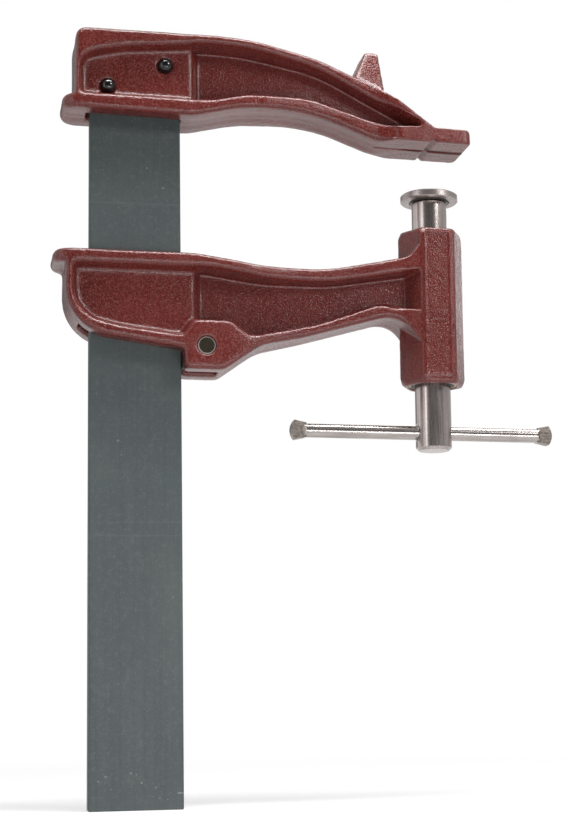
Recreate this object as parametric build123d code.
from build123d import *
from math import radians, sqrt, tan
import os

# Bar clamp, in millimetres. It is drawn upright: +Z runs up the bar, +X from the bar towards the
# screw, and -Y is the side that faces the viewer. While it is drawn, x = 0 and y = 0 are the bar's
# middle and z = 0 is the bar's lower end. At the end every piece is moved so that the origin is the
# middle of the fixed jaw's pad, over the screw.

# Bar
bar_w = 50.0
bar_t = 10.0
bar_len = 412.0
bar_corner = 0.9

# Reach and opening of the clamp
reach = 142.8           # from the bar's inner edge to the screw's axis
arm_down = 116.1        # from the bar's upper end down to the arm's top edge

# Fixed jaw's casting. A name in _down is measured down from the bar's upper end, and a name in _at
# is a share of the reach, measured from the bar's inner edge
jaw_cap = 10.0          # height above the bar's end
jaw_half = 18.25        # half the thickness at the lower flange and at the pad
jaw_neck_half = 14.2    # half the thickness where the jaw is slimmest
jaw_back_t = 8.4        # from the bar's outer edge to the body's outer face
jaw_foot_down = 35.0
jaw_heel_down = 37.1
jaw_heel_r = 25.0
jaw_arch_down = 30.6
jaw_arch_at0 = 0.245
jaw_arch_at1 = 0.511
jaw_arch_r0 = 90.0
jaw_arch_bend = 0.735   # radius of the arch's outer end, as a share of the reach
jaw_crown_at = 0.231
jaw_crown_drop = 0.9    # below the jaw's top corner
jaw_crown_r = 185.0
jaw_brow_at = 0.553
jaw_brow_drop = 10.4
jaw_brow_r = 90.0
jaw_knee_down = 16.5    # where the top edge breaks down to the pad
jaw_knee_back = 6.0     # from the pad's inner end back to that break
jaw_knee_r = 6.0
jaw_top_r = 5.0
jaw_taper_at0 = 0.315   # between these two the jaw gets slimmer
jaw_taper_at1 = 0.609
jaw_taper_r = 150.0
jaw_plan_r = 9.0

# Flange at the foot of each casting, where it stands out past the body
foot_run = 7.2
foot_end_r = 3.5
foot_edge_r = 2.5
foot_root_r = 1.2
jaw_foot_t = 7.0
arm_foot_t = 6.5

# Fixed jaw's pad and its grooves
pad_down = 45.9         # face of the pad at its inner end
pad_out = 22.4          # from the screw's axis to the pad's outer end
pad_len = 44.2
pad_h = 8.2
pad_slope = 1.6         # degrees that the pad's face drops towards its outer end
pad_lead = 9.0          # how much longer the sloping face is than the thick pad
pad_lead_r = 20.0
pad_flare = 8.0         # length over which the jaw widens to the pad
pad_flare_r = 6.0
pad_plan_r = 5.0
pad_edge_r = 1.5
pad_top_len = 21.7
pad_top_rise = 0.8
pad_top_r = 3.0
pad_root_r = 4.0
groove_w = 1.6
groove_d = 0.8
vee_w = 3.4
vee_d = 1.7

# Pockets of both castings
socket_floor = 11.0     # distance of a shallow pocket's floor from the middle
socket_wall = 6.0       # from the bar's edge to where a shallow pocket ends
socket_lap = 8.0        # how far the shallow pocket runs on into the web's pocket
socket_draft = 20.0
web_floor = 4.0         # half the thickness of a web
web_draft = 8.0
step_run = 4.6          # length of the slope from a shallow pocket down to the web
pocket_r = 2.0

# Rims round the fixed jaw's pockets
jaw_rim_top = 4.0
jaw_rim_low = 6.3
jaw_rim_heel = 8.0
jaw_rim_back = 1.2
jaw_rim_bend = 60.0
jaw_web_end = 15.0      # where the web's pocket ends, past the pad's inner end
jaw_web_end_h = 3.4
jaw_web_end_r = 1.4
jaw_web_lip = 1.1       # from the pad's top up to the pocket
jaw_web_low = 4.5       # where the pocket's lower edge bends, before the pad's inner end
jaw_socket_end = 14.3   # below the jaw's top corner, at the outer end
jaw_socket_end_r = 10.0
jaw_socket_mid = 8.6
jaw_socket_mid_x = -8.0

# Room for the bar in the fixed jaw
jaw_slot_side = 0.15
jaw_slot_back = 2.0
jaw_slot_top = 0.3

# Striking lug on top of the fixed jaw
lug_back = 5.0          # from the pad's inner end back to the lug
lug_len = 20.5
lug_half = 13.4
lug_foot_down = 16.0
lug_up = 8.6            # top of the lug above the bar's upper end
lug_top_len = 7.6
lug_top_back = 1.8      # how far the lug's outer face leans back
lug_top_half = 7.0
lug_round = 1.6

# Rivets through jaw and bar
rivet_d = 8.0
rivet_head_r = 4.3
rivet_sink = 0.5
rivet_at = ((-15.7, 21.1), (16.2, 7.7))     # x, and distance below the bar's upper end

# Sliding arm's casting. A name in _drop is measured down from the arm's top edge
arm_cant = 0.6          # degrees that the arm leans on the bar
arm_half = 18.25
arm_neck_half = 13.6
arm_back_t = 13.6       # from the bar's outer edge to the body's outer face
arm_hip_r = 50.0
arm_dip_drop = 5.0
arm_dip_at0 = 0.301
arm_dip_at1 = 0.567
arm_dip_r = 100.0
arm_taper_at0 = 0.217   # between these two the arm gets slimmer
arm_taper_at1 = 0.441
arm_taper_at2 = 0.749   # and from here it widens to the housing
arm_taper_r = 100.0
arm_plan_r = 10.0
shoulder_rise = 9.4     # where the top edge turns up the housing, above the dip
shoulder_in = 3.0
shoulder_up = 22.0
shoulder_r = 8.0
sweep_drop = 28.1       # where the lower edge turns down the housing
sweep_back = 3.5
sweep_end_drop = 49.3
sweep_r = 16.0
belly_at0 = 0.301
belly_at1 = 0.469
belly_drop0 = 48.7
belly_drop1 = 43.3
belly_r0 = 26.0
belly_r1 = 50.0
keel_x = -10.0
keel_drop = 47.4
keel_r = 60.0
stern_drop = 43.2
stern_r = 26.0
boss_gap = 0.6          # from the bar's inner edge to the boss's outer face
boss_w = 21.4
boss_drop = 63.6
boss_notch_drop = 52.3
boss_top_drop = 37.1
boss_r = 2.5

# Rims round the sliding arm's pockets
arm_rim_top = 5.8
arm_rim_belly = 6.0
arm_rim_hip = 8.0
arm_rim_back = 2.8
arm_rim_stern = 7.1
arm_stern_r = 20.0
arm_rim_keel = 5.2
arm_socket_r = 3.0
arm_web_end_drop = 27.2 # lower edge of the web's pocket at the housing
arm_web_end_r = 6.0
arm_web_rib = 9.0       # length of the rib that meets the housing
arm_web_rib_drop = 22.7
arm_web_rib_r = 10.0
arm_web_boss = 3.0      # how far the web's pocket steps past the boss's edge
arm_web_boss_r = 4.0
arm_web_low = 14.5      # where it reaches its lowest, past the boss's edge
arm_web_low_drop = 45.4
arm_web_low_r = 7.0

# Passage for the bar through the sliding arm
arm_slot_side = 0.3
arm_land_h = 14.0       # height of the land that bears on the bar's outer edge
arm_land_gap = 0.75
arm_lead = 6.5          # extra room for the bar at the slot's lower outer end
arm_lead_drop = 45.0
arm_flare = 2.6         # extra room at the slot's upper inner end

# Locking shoe, on a cross pin in the arm
pin_d = 10.0
pin_in = 12.2           # from the bar's inner edge to the pin's axis
pin_drop = 51.1
pin_fit = 0.05
pin_sink = 0.6
pin_edge = 0.4
pin_mouth = 0.8
shoe_t = 9.4
shoe_h = 20.0
shoe_tail_r = 7.4
shoe_gap = 0.1
shoe_room = 1.2
shoe_side_room = 0.6
tooth_count = 12
tooth_d = 0.6

# Hexagonal screw housing at the arm's end
hex_flat = 32.6
hex_up = 21.7           # top of the housing above the arm's top edge
hex_len = 88.9
hex_edge_r = 1.2
hex_end_r = 2.2
hex_turn_out = 0.3      # the ends are turned to a cone that starts this far outside the flats
hex_turn_h = 4.5        # and takes this much off the height of each corner
hex_seat = 0.5

# Screw: smooth ends, with the thread between them inside the housing
screw_d = 20.0
screw_len = 142.9
screw_out = 17.9        # how far its upper end stands out of the housing
screw_chamfer = 1.6
screw_tip_chamfer = 0.8
screw_fit = 0.06
thread_d = 24.0
rise = 16.0             # how far the screw can still rise
fall = 15.0             # how far it can still be drawn back
stop_gap = 0.3
bush_d = 27.0
bush_h = 8.2
bush_sink = 0.8
wiper_d = 24.6
wiper_h = 2.4
wiper_fit = 0.05

# Pressure disc, held by the screw's flared head and rocking on a cone-topped washer
disc_d = 32.6
disc_t = 3.9
disc_lift = 0.5         # from the screw's end up to the disc's underside
disc_edge = 0.5
disc_play = 0.25        # lets the disc rock on the washer
recess_d = 23.0
washer_d = 22.0
washer_rim = 0.7
washer_rise = 0.5       # how much higher the washer is at its bore than at its rim
washer_gap = 0.05
neck_d = 9.0
head_d = 13.0
head_sink = 0.4         # depth of the head below the disc's face
head_gap = 0.45         # lets the disc rock on the head

# Handle that slides through the screw
handle_d = 8.0
handle_len = 150.2
handle_left = 81.7      # from the screw's axis to the handle's end on the bar's side
handle_up = 10.0        # from the screw's lower end up to the handle
handle_fit = 0.3
handle_mouth = 1.0
swage_len = 8.6         # length over which the end is spread
swage_w = 11.6
swage_t = 5.2
swage_r = 0.8
swage_ramp = 1.6        # slope from the round rod down to the pressed flat
swage_nose_r = 8.4      # the end's outline is an arc of this radius

# How far cutting shapes run past what they cut
lap = 1.0
past = 20.0

# Worked out from the sizes above
bar_edge = bar_w / 2
socket_x = bar_edge + socket_wall
screw_x = bar_edge + reach

jaw_arch_x0 = bar_edge + jaw_arch_at0 * reach
jaw_arch_x1 = bar_edge + jaw_arch_at1 * reach
jaw_arch_r1 = jaw_arch_bend * reach
jaw_crown_x = bar_edge + jaw_crown_at * reach
jaw_brow_x = bar_edge + jaw_brow_at * reach
jaw_taper_x0 = bar_edge + jaw_taper_at0 * reach
jaw_taper_x1 = bar_edge + jaw_taper_at1 * reach
jaw_top_z = bar_len + jaw_cap
jaw_foot_z = bar_len - jaw_foot_down
jaw_heel_z = bar_len - jaw_heel_down
jaw_arch_z = bar_len - jaw_arch_down
jaw_back_x = -bar_edge - jaw_back_t
jaw_end_x = screw_x + pad_out
pad_x = jaw_end_x - pad_len
pad_z = bar_len - pad_down
pad_fall = tan(radians(pad_slope))
pad_end_z = pad_z - pad_len * pad_fall
pad_mid_z = pad_z - (screw_x - pad_x) * pad_fall
pad_top_z = pad_end_z + pad_h

arm_dip_x0 = bar_edge + arm_dip_at0 * reach
arm_dip_x1 = bar_edge + arm_dip_at1 * reach
arm_taper_x0 = bar_edge + arm_taper_at0 * reach
arm_taper_x1 = bar_edge + arm_taper_at1 * reach
arm_taper_x2 = bar_edge + arm_taper_at2 * reach
belly_x0 = bar_edge + belly_at0 * reach
belly_x1 = bar_edge + belly_at1 * reach
arm_top_z = bar_len - arm_down
arm_dip_z = arm_top_z - arm_dip_drop
arm_foot_z = arm_top_z - arm_foot_t
arm_back_x = -bar_edge - arm_back_t
boss_x = bar_edge + boss_gap
boss_end_x = boss_x + boss_w
boss_z = arm_top_z - boss_drop
boss_top_z = arm_top_z - boss_top_drop
pin_x = bar_edge + pin_in
pin_z = arm_top_z - pin_drop

hex_z1 = arm_top_z + hex_up
hex_z0 = hex_z1 - hex_len
hex_x = screw_x - hex_flat / sqrt(3)
hex_in_x = screw_x - thread_d / 4
low_bush_z = hex_z0 + bush_sink
high_bush_z = hex_z1 - bush_sink - bush_h
high_wiper_z = high_bush_z + bush_h - wiper_h

screw_z1 = hex_z1 + screw_out
screw_z0 = screw_z1 - screw_len
washer_z = screw_z1 + washer_gap
rock_z = washer_z + washer_rim + washer_rise
disc_z = screw_z1 + disc_lift
handle_z = screw_z0 + handle_up
handle_x0 = screw_x - handle_left
handle_x1 = handle_x0 + handle_len
handle_mid_x = (handle_x0 + handle_x1) / 2


def outline(*corners):
    """A closed face in the XZ plane, from (x, z, radius) corners."""
    points = [(x, z) for x, z, r in corners]
    radii = [r for x, z, r in corners]
    return Plane.XZ * make_face(FilletPolyline(*points, radius=radii, close=True))


def plan_outline(*corners):
    """A face in the XY plane, the same both sides of the middle, from (x, y, radius) corners."""
    back = [(x, -y, r) for x, y, r in reversed(corners)]
    points = [(x, y) for x, y, r in [*corners, *back]]
    radii = [r for x, y, r in [*corners, *back]]
    return make_face(FilletPolyline(*points, radius=radii, close=True))


def slab(face, half):
    return extrude(face, half, both=True)


def upright(face, z0, z1):
    return Pos(0, 0, z0) * extrude(face, z1 - z0)


def both_sides(solid):
    return solid + mirror(solid, Plane.XZ)


def rod(d, x, z0, z1):
    return Pos(x, 0, z0) * Cylinder(d / 2, z1 - z0, align=(Align.CENTER, Align.CENTER, Align.MIN))


def cross_rod(d, x, z, half):
    return Pos(x, 0, z) * Rot(90, 0, 0) * Cylinder(d / 2, 2 * half)


def turned(*corners):
    """A solid turned about the screw's axis, from (radius, z) corners."""
    face = Plane.XZ * make_face(Polyline(*corners, close=True))
    return Pos(screw_x, 0, 0) * revolve(face, Axis.Z)


def block(x0, x1, half, z0, z1):
    return Pos(x0, 0, z0) * Box(x1 - x0, 2 * half, z1 - z0, align=(Align.MIN, Align.CENTER, Align.MIN))


def pocket(face, half, floor, draft):
    """Drafted pockets in both sides of a casting, each down to its floor."""
    return both_sides(extrude(Pos(0, -half, 0) * face, floor - half, taper=draft))


def socket_step(z0, z1):
    """What stays of the thick part round the bar: its edge slopes down to the web."""
    face = make_face(Polyline(
        (0, socket_floor), (socket_x, socket_floor),
        (socket_x + step_run, web_floor - lap), (0, web_floor - lap), close=True))
    return both_sides(upright(face, z0, z1))


def rivet_places():
    return [(x, bar_len - down) for x, down in rivet_at]


def rail_bar():
    bar = block(-bar_edge, bar_edge, bar_t / 2, 0, bar_len)
    bar = fillet(bar.edges().filter_by(Axis.Z) + bar.edges().filter_by(Axis.Y), bar_corner)
    for x, z in rivet_places():
        bar = bar - cross_rod(rivet_d, x, z, bar_t)
    return bar


def jaw_side():
    return outline(
        (jaw_back_x - foot_run, jaw_foot_z, foot_end_r),
        (socket_x, jaw_heel_z, jaw_heel_r),
        (jaw_arch_x0, jaw_arch_z, jaw_arch_r0),
        (jaw_arch_x1, jaw_arch_z, jaw_arch_r1),
        (pad_x - pad_lead, pad_z + pad_lead * pad_fall, pad_lead_r),
        (jaw_end_x, pad_end_z, pad_edge_r),
        (jaw_end_x, pad_top_z, pad_top_r),
        (jaw_end_x - pad_top_len, pad_top_z + pad_top_rise, pad_root_r),
        (pad_x - jaw_knee_back, bar_len - jaw_knee_down, jaw_knee_r),
        (jaw_brow_x, jaw_top_z - jaw_brow_drop, jaw_brow_r),
        (jaw_crown_x, jaw_top_z - jaw_crown_drop, jaw_crown_r),
        (jaw_back_x, jaw_top_z, jaw_top_r),
        (jaw_back_x, jaw_foot_z + jaw_foot_t, foot_root_r),
        (jaw_back_x - foot_run, jaw_foot_z + jaw_foot_t, foot_edge_r),
    )


def jaw_plan():
    return plan_outline(
        (jaw_back_x - foot_run, -jaw_half, jaw_plan_r),
        (jaw_taper_x0, -jaw_half, jaw_taper_r),
        (jaw_taper_x1, -jaw_neck_half, jaw_taper_r),
        (pad_x - pad_flare, -jaw_neck_half, pad_flare),
        (pad_x + lap, -jaw_half, pad_flare_r),
        (jaw_end_x, -jaw_half, pad_plan_r),
    )


def jaw_web_pocket():
    rim_z = jaw_top_z - jaw_crown_drop - jaw_rim_top
    end_x = pad_x + jaw_web_end
    end_z = pad_top_z + jaw_web_lip
    heel_z = jaw_heel_z + jaw_rim_heel
    return outline(
        (socket_x - lap, rim_z, pocket_r),
        (jaw_crown_x, rim_z, jaw_crown_r),
        (jaw_brow_x, jaw_top_z - jaw_brow_drop - jaw_rim_top, jaw_brow_r),
        (end_x, end_z + jaw_web_end_h, jaw_web_end_r),
        (end_x, end_z, jaw_web_end_r),
        (pad_x - jaw_web_low, pad_top_z + lap / 2, jaw_knee_r),
        (jaw_arch_x1, jaw_arch_z + jaw_rim_low, jaw_rim_bend),
        (jaw_arch_x0, jaw_arch_z + jaw_rim_low, jaw_rim_bend),
        (socket_x + socket_lap, heel_z, jaw_rim_bend / 2),
        (socket_x - lap, heel_z, pocket_r),
    )


def jaw_socket_pocket():
    rim_z = jaw_top_z - jaw_crown_drop - jaw_rim_top
    return outline(
        (jaw_back_x + jaw_rim_back, jaw_foot_z + jaw_foot_t, pocket_r),
        (jaw_back_x + jaw_rim_back, jaw_top_z - jaw_socket_end, jaw_socket_end_r),
        (jaw_socket_mid_x, jaw_top_z - jaw_socket_mid, jaw_rim_bend),
        (socket_x + socket_lap, rim_z, pocket_r),
        (socket_x + socket_lap, jaw_heel_z + jaw_rim_heel, pocket_r),
    )


def striking_lug():
    foot_x = pad_x - lug_back - lug_len / 2
    top_x = pad_x - lug_back - lug_top_back - lug_top_len / 2
    lug = loft([
        Pos(foot_x, 0, bar_len - lug_foot_down) * Rectangle(lug_len, 2 * lug_half),
        Pos(top_x, 0, bar_len + lug_up) * Rectangle(lug_top_len, 2 * lug_top_half),
    ])
    return fillet(lug.faces().sort_by(Axis.Z)[-1].edges(), lug_round)


def pad_grooves():
    """A long groove along the pad, and a vee across it that seats a round bar."""
    place = Pos(screw_x, 0, pad_mid_z) * Rot(0, pad_slope, 0)
    groove = Box(2 * (screw_x - pad_x + pad_lead + groove_w), groove_w, 2 * groove_d)
    vee = Plane.XZ * make_face(Polyline(
        (-vee_w / 2, 0), (0, vee_d), (vee_w / 2, 0), (0, -vee_d), close=True))
    return place * groove + place * slab(vee, jaw_half + lap)


def fixed_jaw():
    body = slab(jaw_side(), jaw_half) & upright(jaw_plan(), pad_end_z - past, jaw_top_z + past)
    body = body + striking_lug()
    web = pocket(jaw_web_pocket(), jaw_half, web_floor, web_draft)
    socket = pocket(jaw_socket_pocket(), jaw_half, socket_floor, socket_draft)
    body = body - (web - socket_step(jaw_heel_z, jaw_top_z)) - socket
    slot = block(
        -bar_edge - jaw_slot_back, bar_edge + jaw_slot_side, bar_t / 2 + jaw_slot_side,
        jaw_heel_z - past, bar_len + jaw_slot_top)
    body = body - slot - pad_grooves()
    for x, z in rivet_places():
        body = body - cross_rod(rivet_d, x, z, jaw_half)
    return body


def jaw_rivets():
    """Two round rivets whose domed heads stand on the shallow pocket's floor."""
    solids = []
    for x, z in rivet_places():
        shank = cross_rod(rivet_d, x, z, socket_floor)
        ball = Pos(x, rivet_sink - socket_floor, z) * Sphere(rivet_head_r)
        inside = Pos(x, 0, z) * Box(3 * rivet_d, 2 * socket_floor, 3 * rivet_d)
        solids.append(shank + both_sides(ball - inside))
    return solids


def arm_side():
    return outline(
        (arm_back_x - foot_run, arm_top_z, foot_end_r),
        (socket_x, arm_top_z, arm_hip_r),
        (arm_dip_x0, arm_dip_z, arm_dip_r),
        (arm_dip_x1, arm_dip_z, arm_dip_r),
        (hex_x + shoulder_in, arm_dip_z + shoulder_rise, shoulder_r),
        (hex_in_x, arm_dip_z + shoulder_up, 0),
        (hex_in_x, arm_top_z - sweep_end_drop, 0),
        (hex_x - sweep_back, arm_top_z - sweep_drop, sweep_r),
        (belly_x1, arm_top_z - belly_drop1, belly_r1),
        (belly_x0, arm_top_z - belly_drop0, belly_r0),
        (boss_end_x, boss_z, boss_r),
        (boss_x, boss_z, boss_r),
        (boss_x, arm_top_z - boss_notch_drop, boss_r),
        (keel_x, arm_top_z - keel_drop, keel_r),
        (arm_back_x, arm_top_z - stern_drop, stern_r),
        (arm_back_x, arm_foot_z, foot_root_r),
        (arm_back_x - foot_run, arm_foot_z, foot_edge_r),
    )


def arm_plan():
    return plan_outline(
        (arm_back_x - foot_run, -arm_half, arm_plan_r),
        (arm_taper_x0, -arm_half, arm_taper_r),
        (arm_taper_x1, -arm_neck_half, arm_taper_r),
        (arm_taper_x2, -arm_neck_half, arm_taper_r),
        (screw_x - hex_flat / 4, hex_seat - hex_flat / 2, hex_seat),
    )


def arm_web_pocket():
    boss_edge = boss_end_x + arm_web_boss
    return outline(
        (socket_x - lap, arm_foot_z, pocket_r),
        (socket_x + arm_rim_hip, arm_foot_z, stern_r),
        (arm_dip_x0, arm_dip_z - arm_rim_top, arm_dip_r),
        (arm_dip_x1, arm_dip_z - arm_rim_top, arm_dip_r),
        (hex_in_x, arm_dip_z + shoulder_rise - arm_rim_top, pocket_r),
        (hex_in_x, arm_top_z - arm_web_end_drop, pocket_r),
        (hex_x, arm_top_z - arm_web_end_drop, arm_web_end_r),
        (hex_x - arm_web_rib, arm_top_z - arm_web_rib_drop, arm_web_rib_r),
        (belly_x1 + arm_rim_hip, arm_top_z - belly_drop1 + arm_rim_belly, jaw_rim_bend),
        (boss_end_x + arm_web_low, arm_top_z - arm_web_low_drop, arm_web_low_r),
        (boss_edge, boss_top_z, arm_web_boss_r),
        (socket_x - lap, boss_top_z, pocket_r),
    )


def arm_socket_pocket():
    return outline(
        (arm_back_x + arm_rim_back, arm_foot_z, pocket_r),
        (arm_back_x + arm_rim_back, arm_top_z - stern_drop + arm_rim_stern, arm_stern_r),
        (keel_x, arm_top_z - keel_drop + arm_rim_keel, keel_r),
        (boss_x - lap, arm_top_z - boss_notch_drop + arm_rim_belly, arm_socket_r),
        (socket_x, boss_top_z, arm_socket_r),
        (socket_x + socket_lap, boss_top_z, pocket_r),
        (socket_x + socket_lap, arm_foot_z, pocket_r),
    )


def screw_housing():
    face = RegularPolygon(hex_flat / 2, 6, major_radius=False)
    prism = Pos(screw_x, 0, hex_z0) * extrude(face, hex_len)
    prism = fillet(prism.edges().filter_by(Axis.Z), hex_edge_r)
    ends = prism.faces().sort_by(Axis.Z)
    prism = fillet(ends[0].edges() + ends[-1].edges(), hex_end_r)
    end_r = hex_flat / 2 + hex_turn_out
    full_r = hex_flat / sqrt(3)
    return prism & turned(
        (0, hex_z0), (end_r, hex_z0), (full_r, hex_z0 + hex_turn_h),
        (full_r, hex_z1 - hex_turn_h), (end_r, hex_z1), (0, hex_z1))


def housing_bore():
    """The threaded bore, with a wider seat at each end for the guide bushes."""
    bore = rod(thread_d, screw_x, hex_z0 - lap, hex_z1 + lap)
    low = rod(bush_d, screw_x, hex_z0 - lap, low_bush_z + bush_h)
    high = rod(bush_d, screw_x, high_bush_z, hex_z1 + lap)
    return bore + low + high


def arm_slot():
    """Passage for the bar: a land bears on its outer edge, and the rest is eased to let it tilt."""
    left = -bar_edge - arm_land_gap
    right = bar_edge + arm_land_gap
    face = Plane.XZ * make_face(Polyline(
        (left, arm_top_z + past),
        (left, arm_top_z - arm_land_h),
        (left - arm_lead, arm_top_z - arm_lead_drop),
        (left - arm_lead, boss_z - past),
        (right, boss_z - past),
        (right, boss_top_z),
        (right + arm_flare, arm_top_z),
        (right + arm_flare, arm_top_z + past),
        close=True))
    return slab(face, bar_t / 2 + arm_slot_side)


def shoe_chamber():
    """Room for the locking shoe between the two cheeks of the boss, open below."""
    return block(
        bar_edge, pin_x + shoe_tail_r + shoe_side_room, bar_t / 2 + arm_slot_side,
        boss_z - lap, pin_z + shoe_h / 2 + shoe_room)


def sliding_arm():
    body = slab(arm_side(), arm_half) & upright(arm_plan(), hex_z0, hex_z1)
    web = pocket(arm_web_pocket(), arm_half, web_floor, web_draft)
    socket = pocket(arm_socket_pocket(), arm_half, socket_floor, socket_draft)
    body = body - (web - socket_step(boss_z, arm_top_z)) - socket
    body = body + screw_housing()
    body = body - housing_bore() - arm_slot() - shoe_chamber()
    body = body - cross_rod(pin_d, pin_x, pin_z, arm_half + lap)
    mouth = Pos(pin_x, -arm_half, pin_z) * Rot(90, 0, 0) * Cone(
        pin_d / 2, pin_d / 2 + pin_mouth, pin_mouth, align=(Align.CENTER, Align.CENTER, Align.MAX))
    return body - both_sides(mouth)


def lock_pin():
    pin = cross_rod(pin_d, pin_x, pin_z, arm_half - pin_sink)
    return chamfer(pin.edges().filter_by(GeomType.CIRCLE), pin_edge)


def lock_shoe():
    """Toothed block that bites on the bar's inner edge and turns on the cross pin."""
    face_x = bar_edge + shoe_gap
    low_z = pin_z - shoe_h / 2
    pitch = shoe_h / tooth_count
    teeth = []
    for i in range(tooth_count):
        teeth.append((face_x + tooth_d, low_z + i * pitch))
        teeth.append((face_x, low_z + (i + 0.5) * pitch))
    teeth.append((face_x + tooth_d, low_z + shoe_h))
    front = Plane.XZ * make_face(Polyline(
        *teeth, (pin_x, pin_z + shoe_tail_r), (pin_x, pin_z - shoe_tail_r), close=True))
    tail = cross_rod(2 * shoe_tail_r, pin_x, pin_z, shoe_t / 2)
    return slab(front, shoe_t / 2) + tail - cross_rod(pin_d + 2 * pin_fit, pin_x, pin_z, shoe_t)


def bush(z0, seat_z):
    """Guide ring in one end of the housing, with a seat for its wiper at its outer end."""
    bore = rod(screw_d + 2 * screw_fit, screw_x, z0 - lap, z0 + bush_h + lap)
    return rod(bush_d, screw_x, z0, z0 + bush_h) - bore - rod(wiper_d, screw_x, seat_z, seat_z + wiper_h)


def wiper(z0):
    bore = rod(screw_d + 2 * wiper_fit, screw_x, z0 - lap, z0 + wiper_h + lap)
    return rod(wiper_d, screw_x, z0, z0 + wiper_h) - bore


def screw_spindle():
    """One turned piece: two smooth ends, the thread between them, and the disc's neck and head."""
    shaft_r = screw_d / 2
    thread_r = thread_d / 2 - screw_fit
    runout = thread_r - shaft_r
    thread_z0 = low_bush_z + bush_h + fall + stop_gap
    thread_z1 = high_bush_z - rise - stop_gap
    head_z = disc_z + disc_t - head_sink
    shaft = turned(
        (0, screw_z0),
        (shaft_r - screw_chamfer, screw_z0),
        (shaft_r, screw_z0 + screw_chamfer),
        (shaft_r, thread_z0),
        (thread_r, thread_z0 + runout),
        (thread_r, thread_z1 - runout),
        (shaft_r, thread_z1),
        (shaft_r, screw_z1 - screw_tip_chamfer),
        (shaft_r - screw_tip_chamfer, screw_z1),
        (neck_d / 2, screw_z1),
        (neck_d / 2, head_z - (head_d - neck_d) / 2),
        (head_d / 2, head_z),
        (0, head_z),
    )
    hole_r = handle_d / 2 + handle_fit
    mouth = Pos(0, 0, shaft_r) * Cone(
        hole_r, hole_r + handle_mouth, handle_mouth, align=(Align.CENTER, Align.CENTER, Align.MAX))
    hole = Cylinder(hole_r, screw_d + lap) + mouth + mirror(mouth, Plane.XY)
    return shaft - Pos(screw_x, 0, handle_z) * Rot(0, 90, 0) * hole


def swivel_washer():
    bore = neck_d / 2 + screw_fit
    return turned(
        (bore, washer_z),
        (washer_d / 2, washer_z),
        (washer_d / 2, washer_z + washer_rim),
        (bore, rock_z),
    )


def pressure_disc():
    """Disc with a recess for the washer below and a countersink for the screw's head above."""
    top = disc_z + disc_t
    ceiling = rock_z + disc_play
    wide = head_d / 2 + head_sink + head_gap * sqrt(2)
    hole = neck_d / 2 + head_gap
    return turned(
        (recess_d / 2, disc_z),
        (disc_d / 2 - disc_edge, disc_z),
        (disc_d / 2, disc_z + disc_edge),
        (disc_d / 2, top - disc_edge),
        (disc_d / 2 - disc_edge, top),
        (wide, top),
        (hole, top - wide + hole),
        (hole, ceiling),
        (recess_d / 2, ceiling),
    )


def tommy_bar():
    """Round rod, pressed flat at both ends, where it spreads so that it can't fall out of its hole."""
    flat_x = handle_x0 + swage_len
    rod_r = handle_d / 2
    rod_line = Pos(handle_x0, 0, handle_z) * Rot(0, 90, 0)
    handle = rod_line * Cylinder(rod_r, handle_len, align=(Align.CENTER, Align.CENTER, Align.MIN))
    press = both_sides(upright(make_face(Polyline(
        (handle_x0 - lap, -swage_t / 2), (flat_x - swage_ramp, -swage_t / 2), (flat_x, -rod_r),
        (flat_x, -handle_d), (handle_x0 - lap, -handle_d), close=True)),
        handle_z - swage_w, handle_z + swage_w))
    fan = slab(outline(
        (handle_x0, handle_z - swage_w / 2, swage_r), (flat_x, handle_z - rod_r, 0),
        (flat_x, handle_z + rod_r, 0), (handle_x0, handle_z + swage_w / 2, swage_r)), swage_t / 2)
    nose = cross_rod(2 * swage_nose_r, handle_x0 + swage_nose_r, handle_z, handle_d)
    middle = Plane.YZ.offset(handle_mid_x)
    handle = handle - press - mirror(press, middle) + fan + mirror(fan, middle)
    rest = block(
        handle_x0 + swage_nose_r, handle_x1 - swage_nose_r, handle_d,
        handle_z - swage_w, handle_z + swage_w)
    return handle & (rest + nose + mirror(nose, middle))


def on_arm(shape):
    """Leans a piece with the arm, about the cross pin."""
    return Pos(pin_x, 0, pin_z) * Rot(0, arm_cant, 0) * Pos(-pin_x, 0, -pin_z) * shape


def main():
    pieces = {
        "rail_bar": rail_bar(),
        "fixed_jaw": fixed_jaw(),
        "jaw_rivets": Compound(jaw_rivets()),
        "lock_shoe": lock_shoe(),
        "sliding_arm": on_arm(sliding_arm()),
        "lock_pin": on_arm(lock_pin()),
        "upper_bush": on_arm(bush(high_bush_z, high_wiper_z)),
        "lower_bush": on_arm(bush(low_bush_z, low_bush_z)),
        "upper_wiper": on_arm(wiper(high_wiper_z)),
        "lower_wiper": on_arm(wiper(low_bush_z)),
        "screw_spindle": on_arm(screw_spindle()),
        "swivel_washer": on_arm(swivel_washer()),
        "pressure_disc": on_arm(pressure_disc()),
        "tommy_bar": on_arm(tommy_bar()),
    }
    os.makedirs("parts", exist_ok=True)
    for name, shape in pieces.items():
        export_step(Pos(-screw_x, 0, -pad_mid_z) * shape, f"parts/{name}.step")


main()
